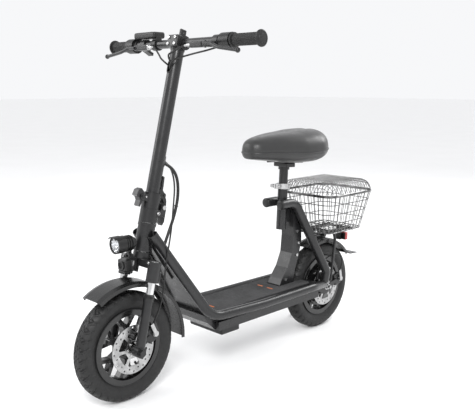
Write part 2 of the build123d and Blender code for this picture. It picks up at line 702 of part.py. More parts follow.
def lower_legs():
    """The fork's sliding legs, each with its seal and axle lug."""
    legs = []
    for side in (-1, 1):
        x = side * LEG_X
        leg = rod((x, 0, -426), (x, 0, -290), LEG_RADIUS) + rod((x, 0, -292), (x, 0, -281), 15.2)
        leg -= rod((x, 0, -412), (x, 0, -270), STANCHION_RADIUS + RUNNING_GAP)
        lug = rod((x - side * 12, 0, 0), (x + side * 14, 0, 0), 15)
        hole = rod((x - 30, 0, 0), (x + 30, 0, 0), AXLE_RADIUS + RUNNING_GAP)
        legs.append(STEERING * leg + AT_FRONT_AXLE * lug - AT_FRONT_AXLE * hole)
    return legs


def front_axle():
    return axle_shaft(AT_FRONT_AXLE, 84, LEG_X + 14.2)


def front_caliper():
    return caliper(AT_FRONT_AXLE, FRONT_CALIPER_AT, 49.4)


# Stem and handlebar

def stem_tube():
    """The steering stem, with an oval cable slot high in front and low behind."""
    tube = rod((0, 0, -20), (0, 0, 414), STEM_RADIUS, STEM_BORE)
    for side, middle in ((-1, 364), (1, 100)):
        for end in (-8, 8):
            tube -= rod((0, 0, middle + end), (0, side * 30, middle + end), SLOT_RADIUS)
        tube -= block((2 * SLOT_RADIUS, 24, 16), (0, side * 18, middle))
    return STEERING * tube


def bar_clamp():
    """The stem's head, with its two-bolt front cap and an upright ear with a hole."""
    head = rod((0, 0, 414.2), (0, 0, 436), STEM_RADIUS + 1.5)
    head += rod((-23, BAR_OFFSET, BAR_HEIGHT), (23, BAR_OFFSET, BAR_HEIGHT), 20)
    head += block((44, 16, 34), (0, -18, BAR_HEIGHT), 3)
    ear = block((8, 22, 30), (0, 8, BAR_HEIGHT + 26), 3)
    head += ear - rod((-10, 8, BAR_HEIGHT + 32), (10, 8, BAR_HEIGHT + 32), EAR_HOLE_RADIUS)
    head -= rod((-30, BAR_OFFSET, BAR_HEIGHT), (30, BAR_OFFSET, BAR_HEIGHT), BAR_RADIUS + RUNNING_GAP)
    return STEERING * head


def handlebar():
    return rod(on_bar(-BAR_END + 4, 0, 0), on_bar(BAR_END - 4, 0, 0), BAR_RADIUS, BAR_RADIUS - 2)


def grip(inner, side):
    """A ribbed grip with a flange at each end; the bar's end plug closes it."""
    end = side * BAR_END
    start = side * inner
    sleeve = rod(on_bar(start, 0, 0), on_bar(end, 0, 0), 16)
    sleeve += rod(on_bar(end - side * 6, 0, 0), on_bar(end, 0, 0), 22)
    sleeve += rod(on_bar(start, 0, 0), on_bar(start + side * 5, 0, 0), 20)
    return sleeve - rod(on_bar(start - side, 0, 0), on_bar(end - side * 4, 0, 0), BAR_RADIUS + RUNNING_GAP)


def display_throttle():
    """The display's case on its clamp, and the thumb throttle's round pod."""
    case = block((100, 42, 19), on_bar(-146, 4, 28), 6)
    neck = block((20, 20, 14), on_bar(-106, 2, 17), 2)
    clamp = rod(on_bar(-116, 0, 0), on_bar(-96, 0, 0), 17)
    pod = rod(on_bar(-234, 0, 0), on_bar(-201, 0, 0), 22)
    link = block((10, 20, 20), on_bar(-199, 4, 26), 2)
    unit = case + neck + clamp + pod + link
    unit -= rod(on_bar(-240, 0, 0), on_bar(-90, 0, 0), BAR_RADIUS + RUNNING_GAP)
    return unit - rod(on_bar(-170, 30, 31), on_bar(-170, 16, 31), 4.3)


def throttle_paddle():
    """The thumb paddle, on a sleeve that turns on the bar."""
    sleeve = rod(on_bar(-200.4, 0, 0), on_bar(-190, 0, 0), 15.6, BAR_RADIUS + 0.3)
    paddle = slab([(BAR[1] + 8, BAR[2] - 8), (BAR[1] + 14, BAR[2] - 4), (BAR[1] + 44, BAR[2] - 20),
                   (BAR[1] + 42, BAR[2] - 28)], -200.4, -178)
    return sleeve + (paddle - rod(on_bar(-220, 0, 0), on_bar(-160, 0, 0), 14))


def switch_pod():
    """The left switch case, with a hole for its button and its switch."""
    case = rod(on_bar(176, 0, 0), on_bar(213, 0, 0), 21)
    case += block((37, 26, 34), on_bar(194.5, 12, -2), 5)
    case -= rod(on_bar(170, 0, 0), on_bar(220, 0, 0), BAR_RADIUS + RUNNING_GAP)
    case -= rod(on_bar(184, 15.5, 5), on_bar(184, 40, 5), 5.3)
    return case - block((16.6, 16, 8.6), on_bar(202, 24, -9))


def horn_button():
    return rod(on_bar(184, 18.5, 5), on_bar(184, 28, 5), 5)


def light_switch():
    return block((12, 9, 8), on_bar(200, 23, -9), 1.5)


LEVER_PIVOT = (150, -40)


def lever_perches():
    """The two lever brackets, each with a bar clamp, a pivot fork and a cable adjuster."""
    x, y = LEVER_PIVOT
    ring = rod(on_bar(148, 0, 0), on_bar(168, 0, 0), 17)
    arm = block((26, 34, 15), on_bar(x - 4, -30, -9), 3)
    body = block((52, 16, 17), on_bar(x - 32, y, -9), 4)
    adjuster = rod(on_bar(x - 56, y, -9), on_bar(x - 72, y, -9), 4.5)
    perch = ring + arm + body + adjuster
    perch -= rod(on_bar(140, 0, 0), on_bar(176, 0, 0), BAR_RADIUS + RUNNING_GAP)
    perch -= block((40, 26, 8.6), on_bar(x + 11, y - 3, -9))
    perch -= rod(on_bar(x, y, -30), on_bar(x, y, 10), 2.5 + RUNNING_GAP)
    return both_sides(perch)


def brake_lever():
    """The lever's blade, with its hub in the bracket's fork and a rounded tip."""
    x, y = LEVER_PIVOT
    hub = rod(on_bar(x, y, -13), on_bar(x, y, -5), 8)
    root = block((40, 10, 8), on_bar(x + 19, y - 8, -9), 2)
    points = [on_bar(x + 32, y - 9, -10), on_bar(x + 62, y - 14, -20), on_bar(x + 134, y - 13, -30)]
    blade = bent_tube(points, 5, [50])
    tip = Pos(*points[-1]) * Sphere(7)
    pin = rod(on_bar(x, y, -19), on_bar(x, y, 1), 2.5)
    return hub + root + blade + tip + pin


# Side stand

def kickstand():
    """The side stand on the right: a round leg on a cross pin, and a flat foot."""
    y, z = STAND_PIVOT
    hub = rod((-78.6, y, z), (-65.4, y, z), 8)
    pin = rod((-88, y, z), (-50, y, z), 3.95)
    leg = bent_tube([(-72, y, z), (-72, y + 2, z - 26), (-122, y + 11, 12)], 6.5, [30])
    foot = rod((-124, y + 13, 0), (-124, y + 13, 9), 15) + rod((-124, y + 13, 8), (-121, y + 10, 16), 9)
    return hub + pin + leg + foot


# Cables

def front_brake_cable():
    """The front brake's cable: lever to stem, then stem to caliper."""
    x, y = LEVER_PIVOT
    upper = [on_bar(-(x - 72.6), y, -9), on_bar(-58, y - 4, -14), on_bar(-34, y - 8, -34),
             steering_point(-12, -42, 378), steering_point(-4.5, -14, 366)]
    lower = [steering_point(-4.5, 12, 104), steering_point(-4, 36, 100), steering_point(-2, 62, 74),
             steering_point(4, 74, 34), steering_point(16, 70, -16), steering_point(40, 56, -64),
             steering_point(59, 43, -112), steering_point(65, 38, -164), steering_point(62, 44, -214),
             steering_point(55, 56, -262), steering_point(49, 60, -308), steering_point(46, 50.3, -349)]
    return [cable("front brake, upper", upper, CABLE_RADIUS), cable("front brake, lower", lower, CABLE_RADIUS)]


def rear_cables():
    """The rear brake's cable and the wiring: from the bar into the stem, then stem to frame."""
    x, y = LEVER_PIVOT
    brake = [on_bar(x - 72.6, y, -9), on_bar(58, y - 6, -12), on_bar(36, y - 14, -26),
             steering_point(14, -48, 388), steering_point(4.5, -14, 371)]
    wiring = [on_bar(174, -14, -16), on_bar(140, -20, -24), on_bar(96, -24, -30), on_bar(54, -24, -36),
              steering_point(16, -38, 374), steering_point(1, -14, 356)]
    harness = [steering_point(3.2, 10, 96), steering_point(5, 42, 92), steering_point(8, 74, 64),
               steering_point(10, 88, 10), steering_point(12, 84, -50)]
    harness += [steering_point(*point) for point in HARNESS_END]
    tail = [(66, 352, 204), (52, 376, 232), (44, 410, 256), (44, 460, 272), (45, 506, 268), (46, 532, 240),
            (46, 518, 208.3)]
    return [cable("rear brake, upper", brake, CABLE_RADIUS), cable("switch wiring", wiring, CABLE_RADIUS),
            cable("harness", harness, HARNESS_RADIUS), cable("rear brake, end", tail, CABLE_RADIUS)]


def build():
    os.makedirs("parts", exist_ok=True)
    save("head_tube", head_tube())
    save("side_rails", *side_rails())
    save("downtube_plates", *downtube_plates())
    save("deck_tray", deck_tray())
    save("deck_mat", deck_mat())
    save("controller_box", controller_box())
    save("battery", battery())
    save("seat_mast", *seat_mast())
    save("loop_tubes", *loop_tubes())
    save("dropouts", *dropouts())
    save("rear_rack", rear_rack())
    save("basket", basket())
    save("basket_lid", basket_lid())
    save("rear_fender", rear_fender())
    save("tail_light", tail_light())
    save("rear_axle", axle_shaft(AT_REAR_AXLE, 66, PLATE_OUTSIDE + 0.4))
    save("rear_caliper", rear_caliper())
    save("rear_brake_arm", brake_arm(AT_REAR_AXLE, REAR_CALIPER_AT, 49.2))
    save("frame_bolts", *frame_bolts())
    save("seat_collar", seat_collar())
    save("collar_lever", collar_lever())
    save("seat_post", seat_post())
    save("saddle", saddle())
    save("fork_tubes", *fork_tubes())
    save("fork_crown", fork_crown())
    save("front_fender", front_fender())
    save("lamp_bracket", lamp_bracket())
    save("horn", horn())
    save("lamp_shell", lamp_shell())
    save("lamp_lens", lamp_lens())
    save("hinge_base", hinge_base())
    save("hinge_pin", hinge_bolts())
    save("lower_legs", *lower_legs())
    save("front_axle", front_axle())
    save("front_caliper", front_caliper())
    save("front_brake_arm", brake_arm(AT_FRONT_AXLE, FRONT_CALIPER_AT, 49.4))
    save("front_tyre", AT_FRONT_AXLE * tyre())
    save("front_rim", front_rim())
    save("front_rotor", rotor(AT_FRONT_AXLE))
    save("rear_tyre", AT_REAR_AXLE * tyre())
    save("rear_rim", rear_rim())
    save("rear_rotor", rotor(AT_REAR_AXLE))
    save("stem_tube", stem_tube())
    save("hinge_cap", hinge_cap() + [STEERING * cheek for cheek in latch_cheeks()])
    save("fold_lever", fold_lever())
    save("safety_latch", safety_latch())
    save("bar_clamp", bar_clamp())
    save("handlebar", handlebar())
    save("grips", grip(216, 1), grip(237, -1))
    save("display_throttle", display_throttle())
    save("throttle_paddle", throttle_paddle())
    save("switch_pod", switch_pod())
    save("horn_button", horn_button())
    save("light_switch", light_switch())
    save("lever_perches", *lever_perches())
    save("brake_lever_left", brake_lever())
    save("brake_lever_right", mirror(brake_lever(), Plane.YZ))
    save("kickstand", kickstand())
    save("front_brake_cable", *front_brake_cable())
    save("rear_cables", *rear_cables())


build()
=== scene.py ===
import json
import math

import bpy
from mathutils import Matrix, Vector


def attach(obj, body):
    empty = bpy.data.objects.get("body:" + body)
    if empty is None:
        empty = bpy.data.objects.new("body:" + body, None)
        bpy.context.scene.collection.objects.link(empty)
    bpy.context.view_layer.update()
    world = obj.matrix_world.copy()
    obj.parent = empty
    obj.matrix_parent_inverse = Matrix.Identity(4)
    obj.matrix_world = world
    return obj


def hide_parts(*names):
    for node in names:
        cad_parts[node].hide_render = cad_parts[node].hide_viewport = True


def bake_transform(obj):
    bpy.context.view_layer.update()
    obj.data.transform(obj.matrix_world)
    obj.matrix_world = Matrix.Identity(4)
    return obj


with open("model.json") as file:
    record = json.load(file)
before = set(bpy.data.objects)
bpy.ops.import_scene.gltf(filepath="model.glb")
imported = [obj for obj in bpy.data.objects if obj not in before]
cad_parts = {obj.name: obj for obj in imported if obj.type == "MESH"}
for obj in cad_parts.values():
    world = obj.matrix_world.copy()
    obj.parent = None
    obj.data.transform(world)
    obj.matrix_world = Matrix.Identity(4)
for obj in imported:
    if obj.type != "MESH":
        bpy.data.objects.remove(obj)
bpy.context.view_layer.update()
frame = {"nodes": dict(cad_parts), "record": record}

# Lengths below are in millimetres about the middle of the wheelbase, as in the model's source;
# spot() turns them into metres in the row frame.
SHIFT_Y = -21
STEER_ANGLE = math.radians(14.1)
STEER_Y = -323
STEER_Z = 577
FRONT_Y = -432
REAR_Y = 432
AXLE_Z = 158.5
BASKET_Y = 477
BASKET_FLOOR = 366
BASKET_RIM = 504
LID_Y = 338
BAR_BACK = 5
BAR_UP = 437
LID_Z = BASKET_RIM + 2
DECK_TOP = 203.2
PLATE_OUTSIDE = 47.8
LEG_X = 64
STEM_SURFACE = 19.3
UPPER_SLOT = 364
LOWER_SLOT = 100
CABLE_RADIUS = 2.5
HARNESS_RADIUS = 4.5


def spot(x, y, z):
    """A point in millimetres about the wheelbase's middle, in row metres."""
    return Vector((x, y + SHIFT_Y, z)) / 1000


def steer(x, back, up):
    """A point given in the steering frame, whose origin is at the top of the folding hinge."""
    y = STEER_Y + back * math.cos(STEER_ANGLE) + up * math.sin(STEER_ANGLE)
    z = STEER_Z - back * math.sin(STEER_ANGLE) + up * math.cos(STEER_ANGLE)
    return spot(x, y, z)


def bar(x, back, up):
    """A point beside the handlebar's axis."""
    y = STEER_Y + BAR_BACK * math.cos(STEER_ANGLE) + BAR_UP * math.sin(STEER_ANGLE)
    z = STEER_Z - BAR_BACK * math.sin(STEER_ANGLE) + BAR_UP * math.cos(STEER_ANGLE)
    return spot(x, y + back, z + up)


STEER_UP = steer(0, 0, 1) - steer(0, 0, 0)
STEER_BACK = steer(0, 1, 0) - steer(0, 0, 0)

# Camera

camera = bpy.data.objects.new("camera", bpy.data.cameras.new("camera"))
bpy.context.scene.collection.objects.link(camera)
camera.location = (1.510, -1.510, 0.882)
camera.data.lens = 51.33
camera.data.sensor_width = 36
VIEW = Vector((-0.6971, 0.6958, -0.1730))
camera.rotation_euler = VIEW.to_track_quat("-Z", "Y").to_euler()
bpy.context.scene.camera = camera

# Materials

materials = {}


class Nodes:
    """A short way to add nodes to one material."""

    def __init__(self, material):
        self.tree = material.node_tree
        self.shader = self.tree.nodes["Principled BSDF"]
        self.coords = self.add("ShaderNodeTexCoord").outputs["Object"]

    def add(self, kind, **values):
        node = self.tree.nodes.new(kind)
        for key, value in values.items():
            setattr(node, key, value)
        return node

    def link(self, source, target):
        self.tree.links.new(source, target)

    def noise(self, scale, detail=3, stretch=None):
        """Noise at a scale per metre, stretched along an axis if asked."""
        node = self.add("ShaderNodeTexNoise")
        node.inputs["Scale"].default_value = scale
        node.inputs["Detail"].default_value = detail
        source = self.coords
        if stretch:
            mapping = self.add("ShaderNodeMapping")
            mapping.inputs["Scale"].default_value = stretch
            self.link(source, mapping.inputs["Vector"])
            source = mapping.outputs["Vector"]
        self.link(source, node.inputs["Vector"])
        return node.outputs["Fac"]

    def spread(self, source, low, high):
        """The source, read from 0.3 to 0.7, as a number from low to high."""
        node = self.add("ShaderNodeMapRange")
        self.link(source, node.inputs["Value"])
        for name, value in (("From Min", 0.3), ("From Max", 0.7), ("To Min", low), ("To Max", high)):
            node.inputs[name].default_value = value
        return node.outputs["Result"]

    def ramp(self, source, *stops):
        """A colour ramp from (place, colour) stops."""
        node = self.add("ShaderNodeValToRGB")
        self.link(source, node.inputs["Fac"])
        ends = node.color_ramp.elements
        for index, (place, colour) in enumerate(stops):
            stop = ends[index] if index < 2 else ends.new(place)
            stop.position = place
            stop.color = (*colour, 1)
        return node.outputs["Color"]


def surface(name, dark, light, rough, metallic=0.0, mottle=14, grain=900, depth=0.10, coat=0.0, sheen=0.0,
            stretch=None, specular=0.5, scuffs=None):
    """A material with mottled colour, uneven roughness, grain in its normals and, if asked, fine scuffs."""
    material = bpy.data.materials.new(name)
    material.use_nodes = True
    nodes = Nodes(material)
    shader = nodes.shader.inputs
    shader["Metallic"].default_value = metallic
    shader["Specular IOR Level"].default_value = specular
    shader["Coat Weight"].default_value = coat
    shader["Coat Roughness"].default_value = 0.18
    shader["Sheen Weight"].default_value = sheen
    shader["Sheen Roughness"].default_value = 0.4
    colour = nodes.ramp(nodes.noise(mottle, 5), (0.32, dark), (0.68, light))
    if scuffs:
        mask = nodes.ramp(nodes.noise(160, 8, (1, 0.35, 1.6)), (0.66, (0, 0, 0)), (0.72, (1, 1, 1)))
        mix = nodes.add("ShaderNodeMixRGB")
        nodes.link(mask, mix.inputs["Fac"])
        nodes.link(colour, mix.inputs["Color1"])
        mix.inputs["Color2"].default_value = (*scuffs, 1)
        colour = mix.outputs["Color"]
    nodes.link(colour, shader["Base Color"])
    uneven = nodes.spread(nodes.noise(mottle * 6, 4), rough * 0.82, min(1.0, rough * 1.2))
    nodes.link(uneven, shader["Roughness"])
    bump = nodes.add("ShaderNodeBump")
    bump.inputs["Strength"].default_value = depth
    bump.inputs["Distance"].default_value = 0.0006
    nodes.link(nodes.noise(grain, 3, stretch), bump.inputs["Height"])
    nodes.link(bump.outputs["Normal"], shader["Normal"])
    materials[name] = material
    return material


def grey(value, tint=1.0):
    """A grey, with its blue raised by the tint."""
    return (value, value, value * tint)


surface("frame_paint", grey(0.0105, 1.05), grey(0.0155, 1.05), 0.30, mottle=9, grain=520, depth=0.08,
        coat=0.12, specular=0.42, scuffs=grey(0.024))
surface("black_alloy", grey(0.008, 1.05), grey(0.014, 1.05), 0.33, mottle=18, grain=1100, depth=0.18,
        coat=0.08, specular=0.42, scuffs=grey(0.024))
surface("rim_black", grey(0.006), grey(0.010), 0.20, mottle=18, grain=700, depth=0.06, coat=0.25,
        specular=0.5, scuffs=grey(0.02))
surface("black_plastic", grey(0.007), grey(0.011), 0.36, mottle=20, grain=1600, depth=0.3, specular=0.4)
surface("guard_plastic", grey(0.008), grey(0.013), 0.26, mottle=12, grain=1300, depth=0.10, coat=0.10,
        specular=0.42, scuffs=grey(0.02))
surface("tyre_rubber", grey(0.007), grey(0.013), 0.52, mottle=26, grain=1500, depth=0.4, specular=0.42,
        scuffs=grey(0.028))
surface("grip_rubber", grey(0.007), grey(0.011), 0.50, mottle=30, grain=1700, depth=0.35, sheen=0.08,
        specular=0.4)
surface("deck_grip", grey(0.050, 1.02), grey(0.072, 1.02), 0.72, mottle=22, grain=1400, depth=0.5,
        specular=0.3, scuffs=grey(0.10))
surface("saddle_vinyl", grey(0.026), grey(0.034), 0.36, mottle=10, grain=620, depth=0.26, sheen=0.12,
        specular=0.4)
surface("bright_chrome", grey(0.62), grey(0.70), 0.10, metallic=1.0, mottle=25, grain=300, depth=0.02)
surface("disc_steel", grey(0.34), grey(0.52), 0.28, metallic=1.0, mottle=60, grain=900, depth=0.18)
surface("bolt_steel", grey(0.38), grey(0.52), 0.26, metallic=1.0, mottle=120, grain=900, depth=0.10)
surface("silver_alloy", grey(0.46), grey(0.60), 0.30, metallic=1.0, mottle=50, grain=1200, depth=0.10)
surface("wire_chrome", grey(0.085), grey(0.21), 0.20, metallic=1.0, mottle=90, grain=700, depth=0.06)
surface("red_lens", (0.30, 0.006, 0.006), (0.46, 0.014, 0.012), 0.16, mottle=30, grain=240, depth=0.5,
        coat=0.6)
surface("cable_jacket", grey(0.007), grey(0.012), 0.36, mottle=40, grain=2000, depth=0.2, specular=0.4)
surface("cell_wrap", (0.02, 0.06, 0.16), (0.03, 0.09, 0.22), 0.35, mottle=12, grain=400, depth=0.1)
surface("red_plastic", (0.36, 0.02, 0.015), (0.46, 0.035, 0.025), 0.3, mottle=60, grain=1600, depth=0.2)
surface("wire_jacket", grey(0.36), grey(0.46), 0.5, mottle=60, grain=1500, depth=0.15)
surface("accent_orange", (0.48, 0.12, 0.03), (0.62, 0.18, 0.05), 0.6, mottle=60, grain=1500, depth=0.4)
surface("seam_thread", grey(0.045), grey(0.07), 0.7, mottle=300, grain=2500, depth=0.4)
surface("screen_glass", (0.004, 0.006, 0.008), (0.008, 0.011, 0.014), 0.08, mottle=20, grain=300, depth=0.01,
        coat=0.6)
surface("screen_mark", (0.20, 0.26, 0.25), (0.28, 0.34, 0.33), 0.4, mottle=90, grain=900, depth=0.05)

glass = surface("clear_lens", (0.92, 0.95, 0.97), (0.97, 0.98, 1.0), 0.05, mottle=20, grain=160, depth=0.10)
glass.node_tree.nodes["Principled BSDF"].inputs["Transmission Weight"].default_value = 0.95
glass.node_tree.nodes["Principled BSDF"].inputs["IOR"].default_value = 1.46

for entry in frame["record"]["subparts"]:
    cad = frame["nodes"].get(entry["node"])
    if cad is None:
        continue
    cad.data.materials.clear()
    cad.data.materials.append(materials[entry["material_slot"]])


def repaint(node, finish, test):
    """Gives the faces of a CAD node whose centre passes the test a second finish."""
    mesh = frame["nodes"][node].data
    mesh.materials.append(materials[finish])
    for face in mesh.polygons:
        if test(face.center):
            face.material_index = len(mesh.materials) - 1


repaint("tail_light", "black_plastic", lambda c: c.z > 0.3365 or c.y < 0.5465)
repaint("front_caliper", "bolt_steel", lambda c: c.x > 0.0528)
repaint("rear_caliper", "bolt_steel", lambda c: c.x > 0.0528)
repaint("lever_perches", "silver_alloy", lambda c: 0.078 < abs(c.x) < 0.0935)
repaint("front_axle", "black_alloy", lambda c: abs(c.x) > 0.0779)
for rim in ("front_rim", "rear_rim"):
    frame["nodes"][rim].data.materials[0] = materials["rim_black"]

# Mesh helpers


def piece(name, verts, faces, finish, body=None, replaces=(), crease=40):
    """A new mesh piece in row metres, with its finish; it rides on a body if one is given."""
    mesh = bpy.data.meshes.new(name)
    mesh.from_pydata([tuple(v) for v in verts], [], faces)
    mesh.validate()
    mesh.shade_smooth()
    mesh.set_sharp_from_angle(angle=math.radians(crease))
    mesh.materials.append(materials[finish])
    obj = bpy.data.objects.new(name, mesh)
    bpy.context.scene.collection.objects.link(obj)
    if replaces:
        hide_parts(*replaces)
    if body:
        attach(obj, body)
    return obj


def joined(parts):
    """Several (points, faces) lists as one."""
    verts, faces = [], []
    for some_verts, some_faces in parts:
        start = len(verts)
        verts += some_verts
        faces += [tuple(i + start for i in face) for face in some_faces]
    return verts, faces


def grid_faces(rows, columns, wrap_rows=False):
    """Quads between rows of points; each row closes on itself."""
    faces = []
    for i in range(rows if wrap_rows else rows - 1):
        for j in range(columns):
            a = i * columns + j
            b = i * columns + (j + 1) % columns
            c = ((i + 1) % rows) * columns + (j + 1) % columns
            d = ((i + 1) % rows) * columns + j
            faces.append((a, b, c, d))
    return faces


def tube(points, radius, sides=8, closed=False):
    """A round wire along points; its ends are capped unless it is closed."""
    points = [Vector(p) for p in points]
    count = len(points)
    radii = radius if isinstance(radius, (list, tuple)) else [radius] * count
    tangents = []
    for i in range(count):
        before = points[i - 1] if i or closed else points[0]
        after = points[(i + 1) % count] if i < count - 1 or closed else points[-1]
        tangents.append((after - before).normalized())
    normal = tangents[0].orthogonal().normalized()
    verts = []
    for i in range(count):
        normal = (normal - tangents[i] * normal.dot(tangents[i])).normalized()
        side = tangents[i].cross(normal)
        for k in range(sides):
            a = 2 * math.pi * k / sides
            verts.append(points[i] + (normal * math.cos(a) + side * math.sin(a)) * radii[i] / 1000)
    faces = grid_faces(count, sides, wrap_rows=closed)
    if closed:
        return verts, faces[:-sides] + closing_ring(verts, count, sides)
    faces.append(tuple(range(sides))[::-1])
    faces.append(tuple(range((count - 1) * sides, count * sides)))
    return verts, faces


def closing_ring(verts, count, sides):
    """The faces from a closed tube's last ring to its first, turned to the nearest match."""
    last = (count - 1) * sides
    offset = min(range(sides), key=lambda k: (verts[last] - verts[k]).length)
    return [(last + k, last + (k + 1) % sides, (k + 1 + offset) % sides, (k + offset) % sides)
            for k in range(sides)]


def lathe(place, axis, outline, segments=32):
    """A solid of revolution about an axis, from (distance, radius) pairs in millimetres."""
    axis = Vector(axis).normalized()
    first = axis.orthogonal().normalized()
    second = axis.cross(first)
    verts = []
    for along, radius in outline:
        for k in range(segments):
            a = 2 * math.pi * k / segments
            offset = first * math.cos(a) + second * math.sin(a)
            verts.append(Vector(place) + (axis * along + offset * radius) / 1000)
    faces = grid_faces(len(outline), segments)
    faces.append(tuple(range(segments))[::-1])
    faces.append(tuple(range((len(outline) - 1) * segments, len(outline) * segments)))
    return verts, faces


def brick(low, high, chamfer=0.6):
    """A box with chamfered upright and top edges, from two corners in row metres."""
    c = chamfer / 1000
    (x0, y0, z0), (x1, y1, z1) = low, high
    verts = []
    for z, inset in ((z0, 0.0), (z1 - c, 0.0), (z1, c)):
        a, b, d, e = x0 + inset, x1 - inset, y0 + inset, y1 - inset
        verts += [Vector(v) for v in ((a + c, d, z), (b - c, d, z), (b, d + c, z), (b, e - c, z),
                                      (b - c, e, z), (a + c, e, z), (a, e - c, z), (a, d + c, z))]
    faces = grid_faces(3, 8)
    return verts, faces + [tuple(range(8))[::-1], tuple(range(16, 24))]


def cap_screw(place, axis, radius, height):
    """A socket head cap screw with a rounded rim and a hexagonal socket."""
    axis = Vector(axis).normalized()
    first = axis.orthogonal().normalized()
    second = axis.cross(first)
    segments = 24
    rings = [(0, radius), (height * 0.82, radius), (height, radius * 0.86), (height, radius * 0.56)]
    verts = []
    for along, r in rings:
        for k in range(segments):
            a = 2 * math.pi * k / segments
            around = first * math.cos(a) + second * math.sin(a)
            verts.append(Vector(place) + (axis * along + around * r) / 1000)
    for along in (height, height * 0.4):
        for k in range(segments):
            a = 2 * math.pi * k / segments
            around = first * math.cos(a) + second * math.sin(a)
            r = radius * 0.5 * math.cos(math.pi / 6) / math.cos((a % (math.pi / 3)) - math.pi / 6)
            verts.append(Vector(place) + (axis * along + around * r) / 1000)
    faces = grid_faces(6, segments)
    faces.append(tuple(range(segments))[::-1])
    faces.append(tuple(range(5 * segments, 6 * segments)))
    return verts, faces


def smooth_table(table, value):
    """A smooth curve through (place, number) pairs, read at a place."""
    places = [row[0] for row in table]
    if value <= places[0]:
        return table[0][1]
    if value >= places[-1]:
        return table[-1][1]
    i = max(k for k in range(len(places) - 1) if places[k] <= value)

    def slope(k):
        if k in (0, len(table) - 1):
            return 0.0 if k else (table[1][1] - table[0][1]) / (places[1] - places[0])
        before = (table[k][1] - table[k - 1][1]) / (places[k] - places[k - 1])
        after = (table[k + 1][1] - table[k][1]) / (places[k + 1] - places[k])
        return 0.0 if before * after <= 0 else 2 * before * after / (before + after)

    span = places[i + 1] - places[i]
    t = (value - places[i]) / span
    m0, m1 = slope(i) * span, slope(i + 1) * span
    a, b = table[i][1], table[i + 1][1]
    return ((2 * t ** 3 - 3 * t ** 2 + 1) * a + (t ** 3 - 2 * t ** 2 + t) * m0
            + (3 * t ** 2 - 2 * t ** 3) * b + (t ** 3 - t ** 2) * m1)


# Tyres with moulded tread

TREAD_REPEATS = 36
STEPS = 22
SIDEWALL = [(104, 19.6), (111, 20.4), (118, 24.4), (126, 27.6), (133, 28.5), (140, 28.2), (146, 26.4),
            (151, 22.6), (154.6, 18.0), (157, 13.4), (158.3, 9.0), (158.5, 5.0), (158.5, 0.0)]


def tread_depth(repeat, x, radius):
    """How deep the tread is cut at a place, in millimetres."""
    across = abs(x) + max(0.0, 146 - radius)
    shift = repeat + (0.5 if x > 0 else 0.0)
    lean = across * 0.045 if across < 13 else 0.585 - (across - 13) * 0.030
    chevron = (shift + lean) % 1
    if across < 34 and chevron < 0.13:
        return 2.6
    if 7 < across < 30 and 0.50 < (shift - lean * 0.7) % 1 < 0.58:
        return 1.8
    if abs(across - 4.2) < 1.0:
        return 1.6
    if 16 < across < 26 and 0.76 < chevron < 0.83:
        return 1.6
    return 0.0


def tyre_mesh(y):
    """A tyre's sidewalls and moulded tread about an axle at a place along the machine."""
    half = []
    for (r0, x0), (r1, x1) in zip(SIDEWALL, SIDEWALL[1:]):
        parts = 2 if r0 < 140 else 4
        half += [(r0 + (r1 - r0) * k / parts, x0 + (x1 - x0) * k / parts) for k in range(parts)]
    profile = [(r, -x) for r, x in half] + [SIDEWALL[-1]] + [(r, x) for r, x in reversed(half)]
    columns = TREAD_REPEATS * STEPS
    verts = []
    for radius, x in profile:
        for k in range(columns):
            angle = 2 * math.pi * k / columns
            r = radius - (tread_depth(k / STEPS, x, radius) if radius > 138 else 0)
            if 128 < radius < 138:
                r += 0.5 if (k // 4) % 2 and 131 < radius < 136 else 0
            if 113 < radius < 116:
                r += 0.5
            verts.append(spot(x, y + r * math.sin(angle), AXLE_Z + r * math.cos(angle)))
    return verts, grid_faces(len(profile), columns)


piece("front_tyre_tread", *tyre_mesh(FRONT_Y), "tyre_rubber", "front_wheel", ["front_tyre"], 30)
piece("rear_tyre_tread", *tyre_mesh(REAR_Y), "tyre_rubber", "rear_wheel", ["rear_tyre"], 30)

for side, y in (("front", FRONT_Y), ("rear", REAR_Y)):
    beads = []
    for x in (-23, 23):
        ring = [spot(x, y + 109.5 * math.sin(a), AXLE_Z + 109.5 * math.cos(a))
                for a in (2 * math.pi * k / 96 for k in range(96))]
        beads.append(tube(ring, 1.3, 8, True))
    piece(f"{side}_rim_lips", *joined(beads), "black_alloy", f"{side}_wheel")
    a = math.radians(150)
    out = Vector((0, math.sin(a), math.cos(a)))
    foot = spot(0, y, AXLE_Z) + out * 0.090
    outline = [(0, 4.2), (3, 4.2), (4, 2.6), (16, 2.6), (16.2, 3.4), (23, 3.4), (24, 2.4)]
    piece(f"{side}_valve", *lathe(foot, -out, outline, 16), "black_plastic", f"{side}_wheel")
    bolts = []
    for k in range(6):
        a = math.radians(60 * k + 30)
        place = spot(41, y + 18 * math.sin(a), AXLE_Z - 18 * math.cos(a))
        bolts.append(cap_screw(place, (1, 0, 0), 3.6, 2.6))
    if side == "rear":
        for face in (-1, 1):
            for k in range(9):
                a = 2 * math.pi * k / 9
                place = spot(face * 22.6, y + 66 * math.sin(a), AXLE_Z + 66 * math.cos(a))
                bolts.append(cap_screw(place, (face, 0, 0), 4.2, 3.0))
    piece(f"{side}_disc_screws", *joined(bolts), "bolt_steel", f"{side}_wheel")

# Wire basket and its lid

LID_HALF_WIDTH = 124
LID_HALF_LENGTH = 134
LID_CORNER = 42
LID_RISE = 41
LID_SHOULDER = 14


